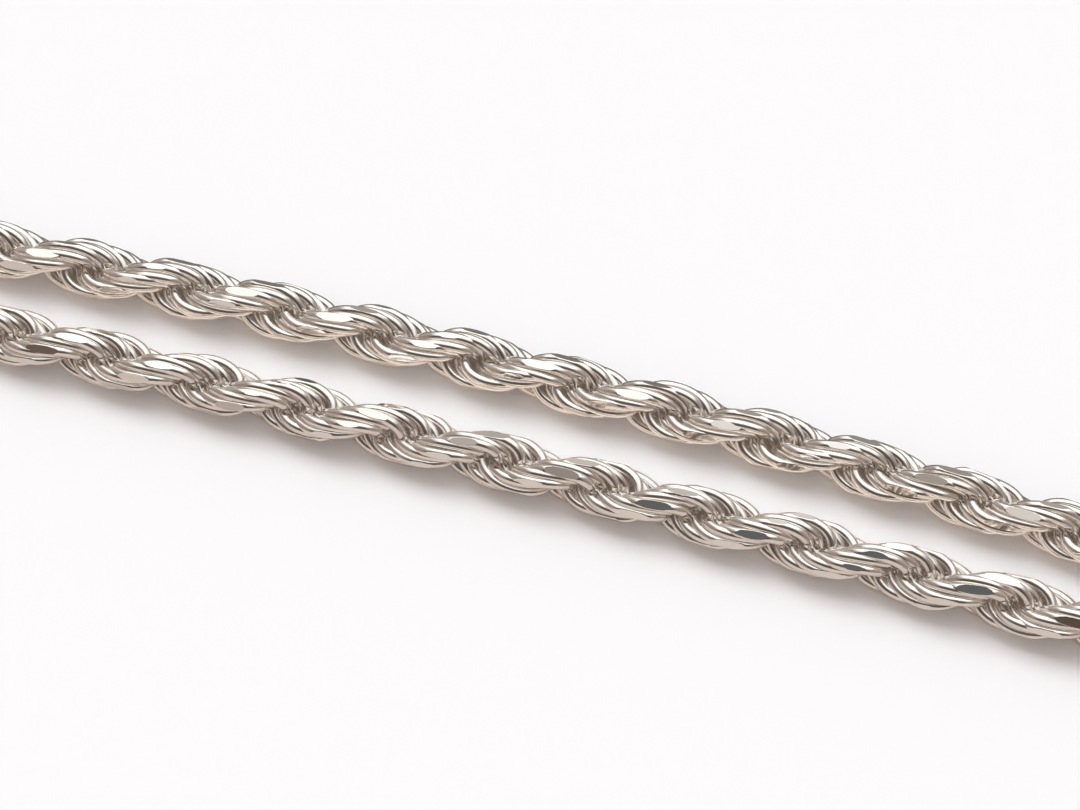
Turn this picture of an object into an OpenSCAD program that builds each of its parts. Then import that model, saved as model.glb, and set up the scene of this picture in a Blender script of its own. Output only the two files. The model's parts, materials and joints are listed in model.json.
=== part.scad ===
// Rope chain necklace, fastened, lying flat as one closed loop folded into two long runs.
// Millimetres. +X along the runs, +Y towards the back run, +Z up; the chain lies on z = 0.

/* [Rope] */
// Diameter of the rope, measured over its links
rope_d = 2.65; // [2.4:0.05:2.9]

/* [End caps] */
// Clearance between the rope's corners and a cap's bore
cap_clear = 0.04; // [0.02:0.01:0.1]
// Wall of a cap round its bore
cap_wall = 0.22; // [0.18:0.02:0.4]
// Depth of a cap's bore
cap_depth = 3.6; // [2.5:0.1:5]
// Thickness of a cap's closed end
cap_floor = 0.9; // [0.6:0.1:1.5]
// Width of the raised rim at a cap's mouth
rim_len = 0.6; // [0.4:0.1:1]
// Height of that rim over the cap's wall
rim_rise = 0.1; // [0.06:0.02:0.2]
// Wire of the loop soldered to a cap
loop_wire = 0.8; // [0.6:0.05:0.9]
// Bore of that loop
loop_bore = 1.6; // [1.5:0.1:2.2]

/* [Rings] */
// Wire of the two open rings
ring_wire = 0.7; // [0.5:0.05:0.8]
// Bore of the two open rings
ring_bore = 2.8; // [2.8:0.1:3.2]

/* [Clasp] */
// Distance from the middle of the clasp's eye to the middle of its hook loop
clasp_len = 8; // [7:0.5:10]
// Wire of the eye
eye_wire = 0.9; // [0.7:0.05:0.95]
// Bore of the eye
eye_bore = 1.7; // [1.6:0.1:2.2]
// Wire of the hook loop
hook_wire = 1.1; // [0.8:0.05:1.1]
// Bore of the hook loop
hook_bore = 3.5; // [3.2:0.1:4]
// Largest diameter of the barrel between them
barrel_d = 3.4; // [3.4:0.1:3.8]

/* [Layout] */
// Distance from the middle of the chain to the clasp
clasp_x = 103.5; // [102:0.05:105]
// Distance from the middle of the chain to the rope's far turn
turn_x = 104.85; // [104:0.05:106]
// Turn of each ring from the line of the clasp
ring_turn = 20; // [10:1:30]
// Turn of each cap from the line of the clasp
cap_turn = 50; // [40:1:60]
// Gap between the two wires that a ring holds
link_gap = 0.2; // [0.1:0.05:0.2]
// Gap between the rope's two halves at the far turn
join_gap = 0.1; // [0.05:0.05:0.2]

/* [Hidden] */
silver = [0.84, 0.83, 0.81];
polished = [0.9, 0.89, 0.87];

back = 1;
front = -1;
round_fn = 48;

// Columns: x, y and lift, the share of the climb from the rope's own height to its cap's
back_route = [
    [-91, 14.1, 0.35], [-82, 11.9, 0.05], [-73, 6.9, 0], [-62, 2.6, 0], [-47, 1, 0],
    [-30, 1.5, 0], [-15, 2.25, 0], [0, 2.45, 0], [15, 2.2, 0], [30, 1.45, 0],
    [48, 0.9, 0], [62, 2.6, 0], [73, 7, 0], [82, 11.4, 0], [91, 13.1, 0],
    [99, 10.5, 0], [103.6, 5.5, 0]
];
front_route = [
    [-91, -14.1, 0.35], [-82, -12, 0.05], [-73, -7.6, 0], [-62, -4, 0], [-47, -2.85, 0],
    [-30, -2.75, 0], [-15, -2.5, 0], [0, -2.4, 0], [15, -2.5, 0], [30, -2.75, 0],
    [48, -3.2, 0], [62, -4.7, 0], [73, -8, 0], [82, -11.6, 0], [91, -13.1, 0],
    [99, -10.5, 0], [103.6, -5.5, 0]
];

// The rope's cross-section has flats below, above and at its sides
rope_sides = 8;
rope_corner_r = rope_d / 2 / cos(180 / rope_sides);
steps_per_span = 2;

cap_bore_r = rope_corner_r + cap_clear;
cap_body_r = cap_bore_r + cap_wall;
cap_r = cap_body_r + rim_rise;
cap_neck_r = cap_bore_r * 0.7;
loop_r = (loop_bore + loop_wire) / 2;
weld = loop_wire * 0.4;
cap_start = loop_r + loop_wire / 2 - weld;
seat_gap = 0.1;
cap_exit = cap_start + cap_floor + cap_depth + rope_d / 6;

ring_r = (ring_bore + ring_wire) / 2;
eye_r = (eye_bore + eye_wire) / 2;
hook_r = (hook_bore + hook_wire) / 2;

rope_z = rope_d / 2;
cap_z = cap_r;
ring_z = ring_r + ring_wire / 2;
clasp_z = barrel_d / 2;

// Distances from one middle to the next along a ring's own line
eye_reach = eye_r + (eye_wire + link_gap) / 2;
hook_reach = hook_r + (hook_wire + link_gap) / 2;
loop_reach = loop_r + (loop_wire + link_gap) / 2;

// The clasp is set along Y so that both caps lie equally far from the X axis
eye_y = (clasp_len + (hook_reach - eye_reach) * cos(ring_turn)) / 2;
hook_y = eye_y - clasp_len;

function turned(angle, side) = [sin(angle), side * cos(angle)];
function held_at(side) = [-clasp_x, side == back ? eye_y : hook_y];
function ring_at(side) = held_at(side) + (side == back ? eye_reach : hook_reach) * turned(ring_turn, side);
function loop_at(side) = ring_at(side) + loop_reach * turned(ring_turn, side);
function at_height(p, z) = [p[0], p[1], z];
function along_cap(side, distance) = at_height(loop_at(side) + distance * turned(cap_turn, side), cap_z);

// From the floor of the cap, out of its mouth, along the route and to the far turn
function route_points(side) = concat(
    [along_cap(side, cap_start + cap_floor + seat_gap), along_cap(side, cap_exit)],
    [for (row = side == back ? back_route : front_route)
        [row[0], row[1], rope_z + row[2] * (cap_z - rope_z)]],
    [[turn_x, side * join_gap / 2, rope_z]]);

// Slope of the curve at point i: straight out of the cap, then from the two neighbouring chords,
// the shorter one counting more, and square to the X axis at the far turn
function slope(p, i, side) =
    i <= 1 ? (p[1] - p[0]) / norm(p[1] - p[0])
    : i == len(p) - 1 ? [0, -side, 0]
    : let (a = norm(p[i] - p[i - 1]), b = norm(p[i + 1] - p[i]))
        ((p[i + 1] - p[i]) / b * a + (p[i] - p[i - 1]) / a * b) / (a + b);

// A point at share t between two points of the route, never lower than the rope can lie
function between(p0, p1, m0, m1, t) =
    let (h = norm(p1 - p0),
        p = (2 * t ^ 3 - 3 * t ^ 2 + 1) * p0 + (t ^ 3 - 2 * t ^ 2 + t) * h * m0
            + (3 * t ^ 2 - 2 * t ^ 3) * p1 + (t ^ 3 - t ^ 2) * h * m1)
    at_height(p, max(p[2], rope_z));

function smooth_path(p, side) = concat(
    [for (i = [0 : len(p) - 2], k = [0 : steps_per_span - 1])
        between(p[i], p[i + 1], slope(p, i, side), slope(p, i + 1, side), k / steps_per_span)],
    [p[len(p) - 1]]);

function unit(v) = v / norm(v);
function heading(path, i, side) =
    i == 0 ? unit(path[1] - path[0])
    : i == len(path) - 1 ? [0, -side, 0]
    : unit(unit(path[i + 1] - path[i]) + unit(path[i] - path[i - 1]));

// One ring of corners round point i of the path
function ring_corners(path, i, side) =
    let (t = heading(path, i, side), across = unit(cross(t, [0, 0, 1])), up = cross(across, t))
    [for (k = [0 : rope_sides - 1])
        let (a = (k + 0.5) * 360 / rope_sides)
        path[i] + rope_corner_r * (cos(a) * across + sin(a) * up)];

module rope_half(side) {
    path = smooth_path(route_points(side), side);
    last = len(path) - 1;
    corners = [for (i = [0 : last]) each ring_corners(path, i, side)];
    walls = [for (i = [0 : last - 1], k = [0 : rope_sides - 1])
        let (a = i * rope_sides + k, b = i * rope_sides + (k + 1) % rope_sides)
        each [[a, b, b + rope_sides], [a, b + rope_sides, a + rope_sides]]];
    near_end = [for (k = [rope_sides - 1 : -1 : 0]) k];
    far_end = [for (k = [0 : rope_sides - 1]) last * rope_sides + k];
    polyhedron(points = corners, faces = concat(walls, [near_end, far_end]), convexity = 10);
}

module round_ring(mean_r, wire) {
    rotate_extrude($fn = round_fn)
        translate([mean_r, 0])
            circle(d = wire, $fn = 24);
}

module rope_back() {
    color(silver) rope_half(back);
}

module rope_front() {
    color(silver) rope_half(front);
}

// Along its own +X: the soldered loop at the origin, the closed end, then the mouth
module end_cap(side) {
    line = turned(cap_turn, side);
    mouth = cap_start + cap_floor + cap_depth;
    color(polished)
        translate(at_height(loop_at(side), cap_z))
            rotate([0, 0, atan2(line[1], line[0])]) {
                round_ring(loop_r, loop_wire);
                rotate([0, 90, 0])
                    difference() {
                        union() {
                            translate([0, 0, cap_start])
                                cylinder(h = cap_floor, r1 = cap_neck_r, r2 = cap_body_r, $fn = round_fn);
                            translate([0, 0, cap_start + cap_floor])
                                cylinder(h = cap_depth, r = cap_body_r, $fn = round_fn);
                            translate([0, 0, mouth - rim_len])
                                cylinder(h = rim_len, r = cap_r, $fn = round_fn);
                        }
                        translate([0, 0, cap_start + cap_floor])
                            cylinder(h = cap_depth + 1, r = cap_bore_r, $fn = round_fn);
                    }
            }
}

module end_cap_back() {
    end_cap(back);
}

module end_cap_front() {
    end_cap(front);
}

// A ring stands on its edge, in line with the two wires that it holds
module wire_ring(side) {
    line = turned(ring_turn, side);
    color(polished)
        translate(at_height(ring_at(side), ring_z))
            rotate([90, 0, atan2(line[1], line[0])])
                round_ring(ring_r, ring_wire);
}

module ring_back() {
    wire_ring(back);
}

module ring_front() {
    wire_ring(front);
}

// One plain piece: the eye, a barrel that swells between them, and the hook loop
module clasp() {
    barrel_len = clasp_len - eye_r - hook_r;
    barrel_steps = 10;
    swell = [for (k = [0 : barrel_steps])
        let (t = k / barrel_steps, neck = eye_wire * (1 - t) / 2 + hook_wire * t / 2)
        [neck + (barrel_d / 2 - neck) * sqrt(sin(180 * t)), t * barrel_len]];
    color(polished)
        translate([-clasp_x, eye_y, clasp_z]) {
            round_ring(eye_r, eye_wire);
            translate([0, -clasp_len, 0])
                round_ring(hook_r, hook_wire);
            translate([0, -eye_r, 0])
                rotate([90, 0, 0])
                    rotate_extrude($fn = round_fn)
                        polygon(concat([[0, 0]], swell, [[0, barrel_len]]));
        }
}

rope_back();
rope_front();
end_cap_back();
end_cap_front();
ring_back();
ring_front();
clasp();
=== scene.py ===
"""Looks of the rope chain necklace: twisted links with diamond-cut flats, end caps, rings and clasp.

Metres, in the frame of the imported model: +X along the runs, +Y to the back run, +Z up.
"""

import json
import math
import random
from bisect import bisect_right
from collections import namedtuple

import bmesh
import bpy
from mathutils import Euler, Matrix, Vector

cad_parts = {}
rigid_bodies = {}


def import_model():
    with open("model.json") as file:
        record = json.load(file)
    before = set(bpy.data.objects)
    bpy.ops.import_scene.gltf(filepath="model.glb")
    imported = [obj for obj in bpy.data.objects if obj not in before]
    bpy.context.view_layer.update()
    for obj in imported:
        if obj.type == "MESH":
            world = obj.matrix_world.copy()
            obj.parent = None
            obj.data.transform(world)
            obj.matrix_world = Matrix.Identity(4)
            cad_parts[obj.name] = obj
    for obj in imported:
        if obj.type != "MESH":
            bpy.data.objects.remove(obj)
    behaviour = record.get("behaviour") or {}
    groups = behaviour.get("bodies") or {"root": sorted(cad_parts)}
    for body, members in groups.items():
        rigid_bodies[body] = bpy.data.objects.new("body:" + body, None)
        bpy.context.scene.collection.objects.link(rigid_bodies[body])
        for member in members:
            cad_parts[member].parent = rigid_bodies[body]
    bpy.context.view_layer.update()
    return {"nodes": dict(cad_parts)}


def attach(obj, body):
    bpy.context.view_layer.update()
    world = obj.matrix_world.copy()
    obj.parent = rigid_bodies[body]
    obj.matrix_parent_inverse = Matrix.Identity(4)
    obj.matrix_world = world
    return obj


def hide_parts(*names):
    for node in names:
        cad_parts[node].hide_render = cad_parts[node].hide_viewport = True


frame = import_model()

MM = 0.001

# The camera, at the photograph's angle
CAMERA_AIM = Vector((0, 0.975, 1.325)) * MM
CAMERA_DISTANCE = 139.13 * MM
CAMERA_TURN = math.radians(17)
CAMERA_RISE = math.radians(60)
CAMERA_LENS = 100

# The rope and its links
ROPE_RADIUS = 1.325 * MM
ROPE_HEIGHT = 1.325 * MM
FLAT_REACH = 1.28 * MM
WIRE = 0.48 * MM
LINK_LENGTH = 3.9 * MM
LINK_WIDTH = 2.68 * MM
LINK_ASIDE = 0.06 * MM
CUT_DEPTH = 0.12 * MM
LINK_TILT = math.radians(-5)
END_TILT = math.radians(3)
LINK_PITCH = math.radians(6)
# Links differ a little: how many kinds there are of each cut, and the spread of how they lean, of how
# their flats face and of how deep these are cut
LINK_VARIANTS = 3
LINK_SEED = 7
LEAN_SPREAD = math.radians(2.2)
FLAT_SPREAD = 0.035
CUT_SPREAD = 0.15
# The flats lie on eight rows of facets. A link is cut flat at one of these turns from its outer side,
# the one that is nearest to a row
FACET_STEP = math.radians(45)
CUT_TURNS = tuple(math.radians(degrees) for degrees in (-20, -15, -10, -5, 0, 5, 10, 15, 20))
# Where the photograph doesn't show the rope
LINK_STEP = 0.5 * MM
TWIST_PITCH = 9.6 * MM
# How far the photograph's twist goes on to the right, and how far both ways the finer links lie
SEEN_REACH = 45 * MM
NEAR_REACH = 33 * MM
# Steps round a link and sides of its wire
NEAR_STEPS, NEAR_SIDES = 40, 12
FAR_STEPS, FAR_SIDES = 22, 6

# The twist and the links of each run in the photograph: the place of one along X, and the step to the next
BACK_VALLEY = -0.988 * MM
BACK_PITCH = 9.535 * MM
BACK_LINK = -0.37 * MM
BACK_STEP = 0.4952 * MM
FRONT_VALLEY = 1.652 * MM
FRONT_PITCH = 9.676 * MM
FRONT_LINK = -1.073 * MM
FRONT_STEP = 0.5066 * MM
# The angle round each run that the photograph looks along, from the outside of the loop
BACK_VIEW = math.radians(60.6)
FRONT_VIEW = math.radians(117.66)
# One row of facets on each run: its angle where X is 0, and how far it turns in a metre of rope between
# there and the cap. Past X = 0 and over the far turn it turns evenly, to join a row of the other run
BACK_FACET = math.radians(78.6)
BACK_FACET_RATE = 0
FRONT_FACET = math.radians(112.16)
FRONT_FACET_RATE = math.radians(-1060)

# Silver of the rope, and of the caps, rings and clasp
ROPE_BRIGHT = (0.97, 0.935, 0.89)
# The rope's dull colour serves both the film's patches and the painted shade towards the rope's core
ROPE_FILM_AND_SHADE = (0.78, 0.735, 0.695)
ROPE_POLISH = 0.05
FINDINGS_BRIGHT = (0.95, 0.93, 0.90)
FINDINGS_DULL = (0.60, 0.55, 0.50)
FINDINGS_POLISH = 0.06
# Shares of the rope's radius for the painted shade in the rope: none outside the first one, full inside the
# second
BRIGHT_REACH = 0.85
FULL_SHADE_REACH = 0.3
# Patterns per millimetre: streaks of the drawn wire, dents, and the film that dulls it in patches
STREAK_SCALE = 4.0
STREAK_STRETCH = (0.8, 5.0, 1.0)
STREAK_HEIGHT = 0.12
DENT_SCALE = 1.6
FILM_SCALE = 2.6
FILM_SPREAD = 0.9
FILM_ROUGHNESS = 0.14
# How far apart in the pattern the links lie that differ most in tone
TONE_SHIFT = 60.0
BUMP_STRENGTH = 0.35
BUMP_DEPTH = 0.03 * MM
# Light between the links that a render's few bounces leave out
INNER_LIGHT = (0.06, 0.052, 0.047)
INNER_BOUNCES = 1.5

# What the silver mirrors of the room, by degrees from the front horizon over the top to the back horizon
SKY_MIDDLE = (
    (0, (0.66, 0.58, 0.54)), (14, (0.62, 0.54, 0.50)), (21, (0.18, 0.14, 0.115)),
    (35, (0.09, 0.066, 0.053)), (50, (0.105, 0.08, 0.068)), (55, (0.12, 0.122, 0.13)),
    (65, (0.12, 0.122, 0.13)), (69, (0.16, 0.125, 0.10)), (77, (0.55, 0.51, 0.48)),
    (84, (1.06, 1.05, 1.03)), (100, (1.12, 1.12, 1.12)), (116, (1.28, 1.28, 1.28)),
    (136, (1.28, 1.28, 1.28)), (150, (1.1, 1.09, 1.08)), (157, (0.6, 0.56, 0.53)),
    (180, (0.27, 0.25, 0.24)),
)
SKY_AROUND = (
    (0, (0.44, 0.37, 0.335)), (40, (0.265, 0.215, 0.185)), (90, (0.33, 0.275, 0.245)),
    (130, (0.43, 0.39, 0.36)), (180, (0.38, 0.335, 0.305)),
)
# How much of the middle shows, by degrees from the left horizon to the right one, and not what is around it
SKY_WIDTH = ((0, 0.0), (46, 0.0), (62, 1.0), (120, 1.0), (136, 0.0), (180, 0.0))
# What lights the floor, by degrees from front to back and then from left to right
LAMPLIGHT = (
    (0, (0.65, 0.57, 0.53)), (90, (0.65, 0.585, 0.55)), (95, (2.68, 2.74, 2.77)),
    (122, (2.68, 2.74, 2.77)), (131, (0.70, 0.66, 0.64)), (180, (0.64, 0.58, 0.55)),
)
LAMP_SIDES = ((0, 1.1), (60, 1.1), (95, 0.9), (120, 0.65), (180, 0.5))
# What the camera sees past the floor
PLAIN_VIEW = (0.93, 0.925, 0.93)
FLOOR_REACH = 4
FLOOR_COLOUR = (0.932, 0.935, 0.958)
FLOOR_ROUGHNESS = 0.9
FLOOR_SPECULAR = 0.2
# Painted shade on the floor that the silver mirrors, by millimetres along Y: before the chain, between its
# runs, behind it
PAINTED_MIRRORED_FLOOR = (
    (-4.5, (0.62, 0.56, 0.52)), (-2.5, (0.62, 0.56, 0.52)), (-1, (0.98, 0.895, 0.83)),
    (1.5, (0.98, 0.895, 0.83)), (2.5, (0.58, 0.53, 0.495)), (4.5, (0.17, 0.155, 0.15)),
)

# Layout of the ends, as in the source of the solids
BACK = 1
FRONT = -1
TURN_X = 104.85 * MM
JOIN_GAP = 0.1 * MM
CAP_HEIGHT = 1.794 * MM
CAP_TURN = math.radians(50)
LOOP_BACK = Vector((-102.286, 7.853)) * MM
LOOP_FRONT = Vector((-101.910, -7.853)) * MM
SEAT_REACH = 2.28 * MM
EXIT_REACH = 6.222 * MM
# Steps of the curve from one point of the route to the next
ROUTE_STEPS = 60
# From this far on, both runs go one way along X up to the far turn, so a place on them is found by halving
STRAIGHT_REACH = 30 * MM
HALVINGS = 50

# Columns: x, y and lift, the share of the climb from the rope's own height to its cap's
BACK_ROUTE = (
    (-91, 14.1, 0.35), (-82, 11.9, 0.05), (-73, 6.9, 0), (-62, 2.6, 0), (-47, 1, 0),
    (-30, 1.5, 0), (-15, 2.25, 0), (0, 2.45, 0), (15, 2.2, 0), (30, 1.45, 0),
    (48, 0.9, 0), (62, 2.6, 0), (73, 7, 0), (82, 11.4, 0), (91, 13.1, 0),
    (99, 10.5, 0), (103.6, 5.5, 0),
)
FRONT_ROUTE = (
    (-91, -14.1, 0.35), (-82, -12, 0.05), (-73, -7.6, 0), (-62, -4, 0), (-47, -2.85, 0),
    (-30, -2.75, 0), (-15, -2.5, 0), (0, -2.4, 0), (15, -2.5, 0), (30, -2.75, 0),
    (48, -3.2, 0), (62, -4.7, 0), (73, -8, 0), (82, -11.6, 0), (91, -13.1, 0),
    (99, -10.5, 0), (103.6, -5.5, 0),
)


def route_points(side):
    """From the floor of the cap, out of its mouth, along the route and to the far turn."""
    start = LOOP_BACK if side == BACK else LOOP_FRONT
    line = Vector((math.sin(CAP_TURN), side * math.cos(CAP_TURN)))
    points = [(start + line * reach).to_3d() for reach in (SEAT_REACH, EXIT_REACH)]
    for point in points:
        point.z = CAP_HEIGHT
    for x, y, lift in BACK_ROUTE if side == BACK else FRONT_ROUTE:
        height = ROPE_HEIGHT + lift * (CAP_HEIGHT - ROPE_HEIGHT)
        points.append(Vector((x * MM, y * MM, height)))
    points.append(Vector((TURN_X, side * JOIN_GAP / 2, ROPE_HEIGHT)))
    return points


def slope(p, i, side):
    """The curve's direction at point i: straight out of the cap, square to X at the far turn."""
    if i <= 1:
        return (p[1] - p[0]).normalized()
    if i == len(p) - 1:
        return Vector((0, -side, 0))
    before = (p[i] - p[i - 1]).length
    after = (p[i + 1] - p[i]).length
    return ((p[i + 1] - p[i]) / after * before + (p[i] - p[i - 1]) / before * after) / (before + after)


def smooth_path(side):
    """One smooth curve through the route's points, never lower than the rope can lie."""
    p = route_points(side)
    path = []
    for i in range(len(p) - 1):
        h = (p[i + 1] - p[i]).length
        m0 = slope(p, i, side) * h
        m1 = slope(p, i + 1, side) * h
        for k in range(ROUTE_STEPS):
            t = k / ROUTE_STEPS
            point = (
                (2 * t**3 - 3 * t**2 + 1) * p[i] + (t**3 - 2 * t**2 + t) * m0
                + (3 * t**2 - 2 * t**3) * p[i + 1] + (t**3 - t**2) * m1
            )
            point.z = max(point.z, ROPE_HEIGHT)
            path.append(point)
    path.append(p[-1])
    return path


class Loop:
    """The whole rope as one line, from the back cap round the far turn to the front cap."""

    def __init__(self):
        back = smooth_path(BACK)
        front = smooth_path(FRONT)
        self.points = back + front[::-1]
        self.reach = [0.0]
        for a, b in zip(self.points, self.points[1:]):
            self.reach.append(self.reach[-1] + (b - a).length)
        self.half = self.reach[len(back) - 1]
        self.length = self.reach[-1]

    def at(self, distance):
        """The place and the direction of the rope at a distance along it."""
        i = min(max(bisect_right(self.reach, distance) - 1, 0), len(self.points) - 2)
        a, b = self.points[i], self.points[i + 1]
        share = (distance - self.reach[i]) / max(self.reach[i + 1] - self.reach[i], 1e-9)
        return a.lerp(b, share), (b - a).normalized()

    def where(self, x, side):
        """The distance along the loop at which one run passes x."""
        low = STRAIGHT_REACH if side == BACK else self.half
        high = self.half if side == BACK else self.length - STRAIGHT_REACH
        for _ in range(HALVINGS):
            middle = (low + high) / 2
            ahead = self.at(middle)[0].x < x
            if ahead == (side == BACK):
                low = middle
            else:
                high = middle
        return (low + high) / 2


loop = Loop()


def between_knots(knots, distance):
    """A value that changes evenly between knots of (distance, value)."""
    for (d0, v0), (d1, v1) in zip(knots, knots[1:]):
        if distance <= d1 or (d1, v1) == knots[-1]:
            return v0 + (v1 - v0) * (distance - d0) / (d1 - d0)
    return knots[-1][1]


def twist_angles():
    """Knots for the twist's angle, and the half turns added so that it goes on over the far turn."""
    back_mark = loop.where(BACK_VALLEY, BACK)
    front_mark = loop.where(FRONT_VALLEY, FRONT)
    back_end = loop.where(SEEN_REACH, BACK)
    front_end = loop.where(SEEN_REACH, FRONT)
    back_rate = 2 * math.pi / BACK_PITCH
    front_rate = 2 * math.pi / FRONT_PITCH
    back_turn = BACK_VIEW + back_rate * (back_end - back_mark)
    front_turn = FRONT_VIEW + front_rate * (front_end - front_mark)
    wanted = back_turn + 2 * math.pi / TWIST_PITCH * (front_end - back_end)
    half_turns = round((wanted - front_turn) / math.pi)
    front_turn += half_turns * math.pi
    knots = (
        (0, BACK_VIEW - back_rate * back_mark),
        (back_end, back_turn),
        (front_end, front_turn),
        (loop.length, front_turn + front_rate * (loop.length - front_end)),
    )
    return knots, half_turns


def link_numbers(half_turns):
    """Knots for the number of links, which is odd or even as the half turns are, so each strand goes on."""
    back_mark = loop.where(BACK_LINK, BACK)
    front_mark = loop.where(FRONT_LINK, FRONT)
    back_end = loop.where(SEEN_REACH, BACK)
    front_end = loop.where(SEEN_REACH, FRONT)
    back_count = (back_end - back_mark) / BACK_STEP
    wanted = back_count + (front_end - back_end) / LINK_STEP + (front_mark - front_end) / FRONT_STEP
    marks_apart = 2 * round((wanted - half_turns) / 2) + half_turns
    return (
        (0, -back_mark / BACK_STEP),
        (back_end, back_count),
        (front_end, marks_apart + (front_end - front_mark) / FRONT_STEP),
        (loop.length, marks_apart + (loop.length - front_mark) / FRONT_STEP),
    )


def facet_angles():
    """Knots for the angle of one row of facets, which joins a row of the other run over the far turn."""
    back_middle = loop.where(0, BACK)
    front_middle = loop.where(0, FRONT)
    back_turn = BACK_FACET + BACK_FACET_RATE * (loop.half - back_middle)
    front_turn = FRONT_FACET + FRONT_FACET_RATE * (loop.half - front_middle)
    step = FACET_STEP * round((back_turn - front_turn) / FACET_STEP)
    return (
        (0, BACK_FACET - BACK_FACET_RATE * back_middle),
        (back_middle, BACK_FACET),
        (front_middle, FRONT_FACET + step),
        (loop.length, FRONT_FACET + step + FRONT_FACET_RATE * (loop.length - front_middle)),
    )


twist_knots, added_half_turns = twist_angles()
number_knots = link_numbers(added_half_turns)
facet_knots = facet_angles()

Station = namedtuple("Station", "place along outward distance cut")


def link_stations():
    """Place, direction and outward side of every link, how far along the rope it is, and which cut it has."""
    place_knots = [(number, distance) for distance, number in number_knots]
    first = math.ceil(between_knots(number_knots, LINK_LENGTH / 2))
    last = math.floor(between_knots(number_knots, loop.length - LINK_LENGTH / 2))
    found = []
    for number in range(first, last + 1):
        distance = between_knots(place_knots, number)
        place, along = loop.at(distance)
        across = along.cross(Vector((0, 0, 1))).normalized()
        up = across.cross(along)
        angle = between_knots(twist_knots, distance) + math.pi * (number % 2)
        outward = across * math.cos(angle) + up * math.sin(angle)
        apart = between_knots(facet_knots, distance) - angle
        apart -= FACET_STEP * round(apart / FACET_STEP)
        cut = min(range(len(CUT_TURNS)), key=lambda k: abs(CUT_TURNS[k] - apart))
        found.append(Station(place, along, outward, distance, cut))
    return found


def add(tree, kind, inputs=None, **settings):
    """A node with its settings, and its inputs as constants or links from other sockets."""
    node = tree.nodes.new(kind)
    for name, value in settings.items():
        setattr(node, name, value)
    for name, value in (inputs or {}).items():
        socket = node.inputs[name]
        if isinstance(value, bpy.types.NodeSocket):
            tree.links.new(value, socket)
        else:
            socket.default_value = value
    return node


def maths(tree, operation, *values):
    """The outcome of a maths node."""
    return add(tree, "ShaderNodeMath", dict(enumerate(values)), operation=operation).outputs[0]


def mixed(tree, factor, first, second, blend="MIX"):
    """A mix of two colours; the node has its colours in sockets 6 and 7, and its outcome in socket 2."""
    return add(tree, "ShaderNodeMix", {
        0: factor, 6: first, 7: second,
    }, data_type="RGBA", blend_type=blend).outputs[2]


def ramp_of(tree, factor, stops):
    """A colour ramp from the first stop's place to the last one's, grey where a stop has a single value."""
    ramp = add(tree, "ShaderNodeValToRGB", {"Fac": factor})
    elements = ramp.color_ramp.elements
    first = stops[0][0]
    reach = stops[-1][0] - first
    while len(elements) < len(stops):
        elements.new(0.5)
    for element, (place, value) in zip(elements, stops):
        colour = value if isinstance(value, tuple) else (value, value, value)
        element.position = (place - first) / reach
        element.color = (*colour, 1)
    return ramp.outputs["Color"]


HALF_LENGTH = (LINK_LENGTH - WIRE) / 2
HALF_WIDTH = (LINK_WIDTH - WIRE) / 2


def bend_wire(work, steps, sides):
    """A round wire bent to an oval link that lies in the XZ plane, with its own map in millimetres."""
    wire_map = work.loops.layers.uv.new("wire")
    side = Vector((0, 1, 0))
    rings = []
    for i in range(steps):
        turn = 2 * math.pi * i / steps
        middle = Vector((HALF_LENGTH * math.cos(turn), 0, HALF_WIDTH * math.sin(turn)))
        outward = Vector((HALF_WIDTH * math.cos(turn), 0, HALF_LENGTH * math.sin(turn))).normalized()
        ring = []
        for k in range(sides):
            angle = 2 * math.pi * (k + 0.5) / sides
            across = outward * math.cos(angle) + side * math.sin(angle)
            ring.append(work.verts.new(middle + WIRE / 2 * across))
        rings.append(ring)
    around_link = math.pi * (HALF_LENGTH + HALF_WIDTH)
    around_wire = math.pi * WIRE
    for i in range(steps):
        here, after = rings[i], rings[(i + 1) % steps]
        for k in range(sides):
            face = work.faces.new((here[k], here[(k + 1) % sides], after[(k + 1) % sides], after[k]))
            face.smooth = True
            for corner, (di, dk) in zip(face.loops, ((0, 0), (0, 1), (1, 1), (1, 0))):
                corner[wire_map].uv = (
                    (i + di) / steps * around_link / MM, (k + dk) / sides * around_wire / MM,
                )


def lean_link(work, rng):
    """Twist a link's outer side against its ends, lean it, and set its top a cut's depth above its flat."""
    lean = Euler((
        rng.gauss(0, LEAN_SPREAD), LINK_PITCH + rng.gauss(0, LEAN_SPREAD), rng.gauss(0, LEAN_SPREAD),
    )).to_matrix()
    for corner in work.verts:
        share = min(max(corner.co.z / HALF_WIDTH, 0), 1)
        tilt = END_TILT + (LINK_TILT - END_TILT) * share
        corner.co = lean @ Matrix.Rotation(-tilt, 3, "Z") @ corner.co
    depth = CUT_DEPTH * rng.uniform(1 - CUT_SPREAD, 1 + CUT_SPREAD)
    lift = FLAT_REACH + depth - max(corner.co.z for corner in work.verts)
    for corner in work.verts:
        corner.co.z += lift
        corner.co.y += LINK_ASIDE


def cut_flat(work, cut_turn, rng):
    """Cut a link flat on the side that a stroke of the cutter meets."""
    flat_layer = work.faces.layers.float.new("flat")
    facing = Vector((
        rng.gauss(0, FLAT_SPREAD), math.sin(cut_turn) + rng.gauss(0, FLAT_SPREAD), math.cos(cut_turn),
    )).normalized()
    cut = bmesh.ops.bisect_plane(
        work, geom=work.verts[:] + work.edges[:] + work.faces[:],
        plane_co=facing * FLAT_REACH, plane_no=facing, clear_outer=True,
    )["geom_cut"]
    border = [item for item in cut if isinstance(item, bmesh.types.BMEdge)]
    for face in bmesh.ops.contextual_create(work, geom=border)["faces"]:
        face.smooth = False
        face[flat_layer] = 1
    bmesh.ops.recalc_face_normals(work, faces=work.faces[:])


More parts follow.
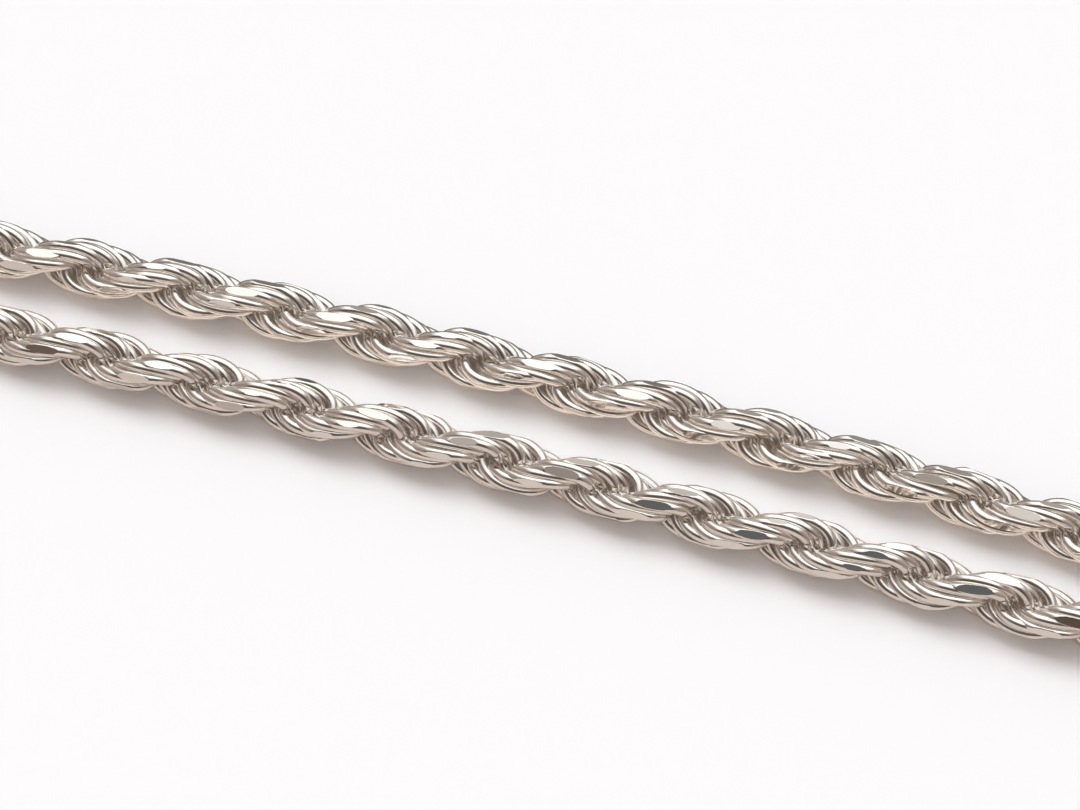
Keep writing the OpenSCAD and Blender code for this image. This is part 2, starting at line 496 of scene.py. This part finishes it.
def link_mesh(name, steps, sides, cut_turn, rng):
    """One link in its place on a rope along X through the origin, with its outer side up."""
    work = bmesh.new()
    bend_wire(work, steps, sides)
    lean_link(work, rng)
    cut_flat(work, cut_turn, rng)
    reach_layer = work.verts.layers.float.new("reach")
    for corner in work.verts:
        corner[reach_layer] = math.hypot(corner.co.y, corner.co.z) / ROPE_RADIUS
    mesh = bpy.data.meshes.new(name)
    work.to_mesh(mesh)
    work.free()
    return mesh


def link_set(name, steps, sides):
    """A few links of each cut that differ a little, to be dealt out along the rope."""
    rng = random.Random(LINK_SEED)
    links = bpy.data.collections.new(name)
    for cut, cut_turn in enumerate(CUT_TURNS):
        for variant in range(LINK_VARIANTS):
            link_name = f"{name}_{cut}_{variant}"
            mesh = link_mesh(link_name, steps, sides, cut_turn, rng)
            links.objects.link(bpy.data.objects.new(link_name, mesh))
    return links


def rope_tree():
    """A link set on every station and turned to its outward direction."""
    tree = bpy.data.node_groups.new("rope_links", "GeometryNodeTree")
    tree.is_modifier = True
    interface = tree.interface
    interface.new_socket("Stations", in_out="INPUT", socket_type="NodeSocketGeometry")
    interface.new_socket("Links", in_out="INPUT", socket_type="NodeSocketCollection")
    interface.new_socket("Seed", in_out="INPUT", socket_type="NodeSocketInt")
    interface.new_socket("Silver", in_out="INPUT", socket_type="NodeSocketMaterial")
    interface.new_socket("Rope", in_out="OUTPUT", socket_type="NodeSocketGeometry")
    given = tree.nodes.new("NodeGroupInput").outputs
    kinds = add(tree, "GeometryNodeCollectionInfo", {
        "Collection": given["Links"], "Separate Children": True, "Reset Children": True,
    })
    kind = add(tree, "GeometryNodeInputNamedAttribute", {"Name": "kind"}, data_type="INT")
    along = add(tree, "GeometryNodeInputNamedAttribute", {"Name": "along"}, data_type="FLOAT_VECTOR")
    outward = add(tree, "GeometryNodeInputNamedAttribute", {"Name": "outward"}, data_type="FLOAT_VECTOR")
    turned = add(tree, "FunctionNodeAxesToRotation", {
        "Primary Axis": outward.outputs["Attribute"], "Secondary Axis": along.outputs["Attribute"],
    }, primary_axis="Z", secondary_axis="X")
    links = add(tree, "GeometryNodeInstanceOnPoints", {
        "Points": given["Stations"], "Instance": kinds.outputs[0], "Pick Instance": True,
        "Instance Index": kind.outputs["Attribute"], "Rotation": turned.outputs[0],
    })
    chance = add(tree, "FunctionNodeRandomValue", {"Seed": given["Seed"]}, data_type="FLOAT")
    toned = add(tree, "GeometryNodeStoreNamedAttribute", {
        "Geometry": links.outputs[0], "Name": "tone", "Value": chance.outputs[1],
    }, data_type="FLOAT", domain="INSTANCE")
    whole = add(tree, "GeometryNodeRealizeInstances", {"Geometry": toned.outputs[0]})
    finished = add(tree, "GeometryNodeSetMaterial", {
        "Geometry": whole.outputs[0], "Material": given["Silver"],
    })
    add(tree, "NodeGroupOutput", {"Rope": finished.outputs[0]})
    return tree


def made_mesh(name, source, tree, values):
    """The mesh that a tree makes from a source mesh, with the tree's inputs set by name."""
    holder = bpy.data.objects.new(name + "_source", source)
    bpy.context.scene.collection.objects.link(holder)
    modifier = holder.modifiers.new("links", "NODES")
    modifier.node_group = tree
    for item in tree.interface.items_tree:
        if item.in_out == "INPUT" and item.name in values:
            modifier[item.identifier] = values[item.name]
    depsgraph = bpy.context.evaluated_depsgraph_get()
    mesh = bpy.data.meshes.new_from_object(holder.evaluated_get(depsgraph), depsgraph=depsgraph)
    holder.modifiers.remove(modifier)
    bpy.data.objects.remove(holder)
    mesh.name = name
    return mesh


def station_mesh(name, stations):
    """One point for each link, with its directions and with which link of the set it is."""
    rng = random.Random(LINK_SEED + 1)
    mesh = bpy.data.meshes.new(name)
    mesh.from_pydata([station.place for station in stations], [], [])
    for attribute in ("along", "outward"):
        layer = mesh.attributes.new(attribute, "FLOAT_VECTOR", "POINT")
        for item, station in zip(layer.data, stations):
            item.vector = getattr(station, attribute)
    for item, station in zip(mesh.attributes.new("kind", "INT", "POINT").data, stations):
        item.value = station.cut * LINK_VARIANTS + rng.randrange(LINK_VARIANTS)
    return mesh


def worn_and_shaded_silver_group():
    """Colour, roughness and height of silver: a film dulls it in patches, and painted shade darkens its
    grooves.
    """
    group = bpy.data.node_groups.new("worn and shaded silver", "ShaderNodeTree")
    interface = group.interface
    for name, value in (("Depth", 0.0), ("Tone", 0.5), ("Polish", 0.05), ("Grain", 1.0)):
        interface.new_socket(name, in_out="INPUT", socket_type="NodeSocketFloat").default_value = value
    interface.new_socket("Place", in_out="INPUT", socket_type="NodeSocketVector")
    interface.new_socket("Bright", in_out="INPUT", socket_type="NodeSocketColor")
    interface.new_socket("Dull", in_out="INPUT", socket_type="NodeSocketColor")
    interface.new_socket("Colour", in_out="OUTPUT", socket_type="NodeSocketColor")
    interface.new_socket("Roughness", in_out="OUTPUT", socket_type="NodeSocketFloat")
    interface.new_socket("Height", in_out="OUTPUT", socket_type="NodeSocketFloat")
    given = group.nodes.new("NodeGroupInput").outputs

    def noise(place, scale, detail):
        return add(group, "ShaderNodeTexNoise", {
            "Vector": place, "Scale": scale, "Detail": detail,
        }).outputs["Fac"]

    shift = maths(group, "MULTIPLY", given["Tone"], TONE_SHIFT)
    shift = add(group, "ShaderNodeCombineXYZ", {"Z": shift}).outputs[0]
    shifted = add(group, "ShaderNodeVectorMath", {0: given["Place"], 1: shift}, operation="ADD").outputs[0]
    drawn = add(group, "ShaderNodeMapping", {"Vector": shifted, "Scale": STREAK_STRETCH}).outputs[0]
    streaks = noise(drawn, STREAK_SCALE, 3.0)
    dents = noise(shifted, DENT_SCALE, 1.0)
    film = noise(shifted, FILM_SCALE, 4.0)
    # Depth mixes in the dull colour as painted shade, on top of the film's patches
    patchy = maths(group, "MULTIPLY_ADD", maths(group, "SUBTRACT", film, 0.5), FILM_SPREAD, given["Depth"])
    dulled = add(group, "ShaderNodeClamp", {"Value": patchy}).outputs[0]
    colour = mixed(group, dulled, given["Bright"], given["Dull"])
    roughness = maths(group, "MULTIPLY_ADD", dulled, FILM_ROUGHNESS, given["Polish"])
    uneven = maths(group, "MULTIPLY_ADD", streaks, STREAK_HEIGHT, dents)
    height = maths(group, "MULTIPLY", uneven, given["Grain"])
    add(group, "NodeGroupOutput", {"Colour": colour, "Roughness": roughness, "Height": height})
    return group


worn_and_shaded_silver = worn_and_shaded_silver_group()


def silver(name, bright, dull, polish):
    """A silver, its node tree and the group in it that takes the surface's depth for painted shade, tone,
    grain and place.
    """
    material = bpy.data.materials.new(name)
    material.use_nodes = True
    tree = material.node_tree
    shader = tree.nodes["Principled BSDF"]
    shader.inputs["Metallic"].default_value = 1.0
    worn_shaded = add(tree, "ShaderNodeGroup", {}, node_tree=worn_and_shaded_silver)
    worn_shaded.inputs["Bright"].default_value = (*bright, 1)
    worn_shaded.inputs["Dull"].default_value = (*dull, 1)
    worn_shaded.inputs["Polish"].default_value = polish
    bump = add(tree, "ShaderNodeBump", {
        "Height": worn_shaded.outputs["Height"], "Strength": BUMP_STRENGTH, "Distance": BUMP_DEPTH,
    })
    tree.links.new(worn_shaded.outputs["Colour"], shader.inputs["Base Color"])
    tree.links.new(worn_shaded.outputs["Roughness"], shader.inputs["Roughness"])
    tree.links.new(bump.outputs["Normal"], shader.inputs["Normal"])
    return material, tree, worn_shaded


def rope_silver():
    """Silver that is darker towards the rope's core by painted shade, has no grain on its flats, and glows
    faintly in the silver that mirrors it, where the render's light would stop short."""
    material, tree, worn_shaded = silver("rope silver", ROPE_BRIGHT, ROPE_FILM_AND_SHADE, ROPE_POLISH)
    reach = add(tree, "ShaderNodeAttribute", attribute_name="reach").outputs["Fac"]
    tone = add(tree, "ShaderNodeAttribute", attribute_name="tone").outputs["Fac"]
    flat = add(tree, "ShaderNodeAttribute", attribute_name="flat").outputs["Fac"]
    wire = add(tree, "ShaderNodeUVMap", uv_map="wire").outputs["UV"]
    # Painted shade: the silver darkens from the bright reach to the full-shade reach towards the rope's core
    deep = add(tree, "ShaderNodeMapRange", {
        "Value": reach, "From Min": BRIGHT_REACH, "From Max": FULL_SHADE_REACH,
    }).outputs[0]
    grain = maths(tree, "SUBTRACT", 1.0, flat)
    bounces = add(tree, "ShaderNodeLightPath").outputs["Ray Depth"]
    inner = maths(tree, "GREATER_THAN", bounces, INNER_BOUNCES)
    glow = mixed(tree, inner, (0, 0, 0, 1), (*INNER_LIGHT, 1))
    shader = tree.nodes["Principled BSDF"]
    tree.links.new(glow, shader.inputs["Emission Color"])
    shader.inputs["Emission Strength"].default_value = 1.0
    tree.links.new(deep, worn_shaded.inputs["Depth"])
    tree.links.new(tone, worn_shaded.inputs["Tone"])
    tree.links.new(wire, worn_shaded.inputs["Place"])
    tree.links.new(grain, worn_shaded.inputs["Grain"])
    return material


def findings_silver():
    """The same silver, whose patterns are read in millimetres from the piece's place."""
    material, tree, worn_shaded = silver("findings silver", FINDINGS_BRIGHT, FINDINGS_DULL, FINDINGS_POLISH)
    place = add(tree, "ShaderNodeMapping", {
        "Vector": add(tree, "ShaderNodeTexCoord").outputs["Object"], "Scale": (1 / MM, 1 / MM, 1 / MM),
    }).outputs[0]
    tree.links.new(place, worn_shaded.inputs["Place"])
    return material


rope_material = rope_silver()
findings_material = findings_silver()

rope_links = rope_tree()
near_links = link_set("near_link", NEAR_STEPS, NEAR_SIDES)
far_links = link_set("far_link", FAR_STEPS, FAR_SIDES)


def lay_rope(name, stations, node, links):
    """One stretch of the rope, whose links rest on the floor and replace the tube of the solid."""
    mesh = made_mesh(name, station_mesh(name + "_stations", stations), rope_links, {
        "Links": links, "Seed": LINK_SEED, "Silver": rope_material,
    })
    for corner in mesh.vertices:
        corner.co.z = max(corner.co.z, 0)
    piece = bpy.data.objects.new(name, mesh)
    bpy.context.scene.collection.objects.link(piece)
    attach(piece, "root")
    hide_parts(node)
    print(name, len(stations), "links", sum(len(face.vertices) - 2 for face in mesh.polygons), "triangles")


all_stations = link_stations()
for side, node in ((BACK, "rope_back"), (FRONT, "rope_front")):
    on_run = [station for station in all_stations if (station.distance <= loop.half) == (side == BACK)]
    near = [station for station in on_run if abs(station.place.x) < NEAR_REACH]
    far = [station for station in on_run if abs(station.place.x) >= NEAR_REACH]
    lay_rope(node + "_links", near, node, near_links)
    lay_rope(node + "_far_links", far, node, far_links)

for links in (near_links, far_links):
    for link in list(links.objects):
        bpy.data.objects.remove(link)
    bpy.data.collections.remove(links)

for name, piece in frame["nodes"].items():
    if not name.startswith("rope"):
        piece.data.materials.clear()
        piece.data.materials.append(findings_material)


def make_floor():
    """A pale floor, with painted shade where the silver mirrors it: warmer and darker there, most of all
    behind the chain.
    """
    mesh = bpy.data.meshes.new("floor")
    corners = [(x * FLOOR_REACH, y * FLOOR_REACH, 0) for x, y in ((-1, -1), (1, -1), (1, 1), (-1, 1))]
    mesh.from_pydata(corners, [], [(0, 1, 2, 3)])
    floor = bpy.data.objects.new("floor", mesh)
    bpy.context.scene.collection.objects.link(floor)
    material = bpy.data.materials.new("pale floor")
    material.use_nodes = True
    tree = material.node_tree
    shader = tree.nodes["Principled BSDF"]
    place = add(tree, "ShaderNodeTexCoord").outputs["Object"]
    across = add(tree, "ShaderNodeMapRange", {
        "Value": add(tree, "ShaderNodeSeparateXYZ", {0: place}).outputs["Y"],
        "From Min": PAINTED_MIRRORED_FLOOR[0][0] * MM,
        "From Max": PAINTED_MIRRORED_FLOOR[-1][0] * MM,
    }).outputs[0]
    # Painted shade: glossy rays see a darker, warmer floor than the camera does
    in_silver = add(tree, "ShaderNodeLightPath").outputs["Is Glossy Ray"]
    colour = mixed(tree, in_silver, (*FLOOR_COLOUR, 1), ramp_of(tree, across, PAINTED_MIRRORED_FLOOR))
    tree.links.new(colour, shader.inputs["Base Color"])
    shader.inputs["Roughness"].default_value = FLOOR_ROUGHNESS
    shader.inputs["Specular IOR Level"].default_value = FLOOR_SPECULAR
    mesh.materials.append(material)


make_floor()


def make_world():
    """Soft light. The silver mirrors a room, the floor is lit by a lamp, and the camera sees a plain view."""
    world = bpy.data.worlds.new("studio")
    world.use_nodes = True
    bpy.context.scene.world = world
    tree = world.node_tree
    background = tree.nodes["Background"]
    direction = add(tree, "ShaderNodeTexCoord").outputs["Generated"]
    parts = add(tree, "ShaderNodeSeparateXYZ", {0: direction}).outputs

    forward = maths(tree, "MULTIPLY", parts["Y"], -1.0)
    swing = maths(tree, "DIVIDE", maths(tree, "ARCTAN2", parts["Z"], forward), math.pi)
    side = maths(tree, "DIVIDE", maths(tree, "ARCSINE", parts["X"]), math.pi)
    side = maths(tree, "ADD", side, 0.5)
    width = ramp_of(tree, side, SKY_WIDTH)
    sky = mixed(tree, width, ramp_of(tree, swing, SKY_AROUND), ramp_of(tree, swing, SKY_MIDDLE))
    lamp = mixed(tree, 1.0, ramp_of(tree, swing, LAMPLIGHT), ramp_of(tree, side, LAMP_SIDES), "MULTIPLY")
    ray = add(tree, "ShaderNodeLightPath").outputs
    light = mixed(tree, ray["Diffuse Depth"], sky, lamp)
    colour = mixed(tree, ray["Is Camera Ray"], light, (*PLAIN_VIEW, 1))
    tree.links.new(colour, background.inputs["Color"])


make_world()


def make_camera():
    """The camera, turned about Z from the front and raised, and aimed between the two runs."""
    data = bpy.data.cameras.new("camera")
    data.lens = CAMERA_LENS
    data.clip_start = 1 * MM
    camera = bpy.data.objects.new("camera", data)
    bpy.context.scene.collection.objects.link(camera)
    back = Vector((
        math.sin(CAMERA_TURN) * math.cos(CAMERA_RISE),
        -math.cos(CAMERA_TURN) * math.cos(CAMERA_RISE),
        math.sin(CAMERA_RISE),
    ))
    camera.location = CAMERA_AIM + back * CAMERA_DISTANCE
    camera.rotation_euler = back.to_track_quat("Z", "Y").to_euler()
    bpy.context.scene.camera = camera


make_camera()
bpy.context.scene.view_settings.view_transform = "Standard"
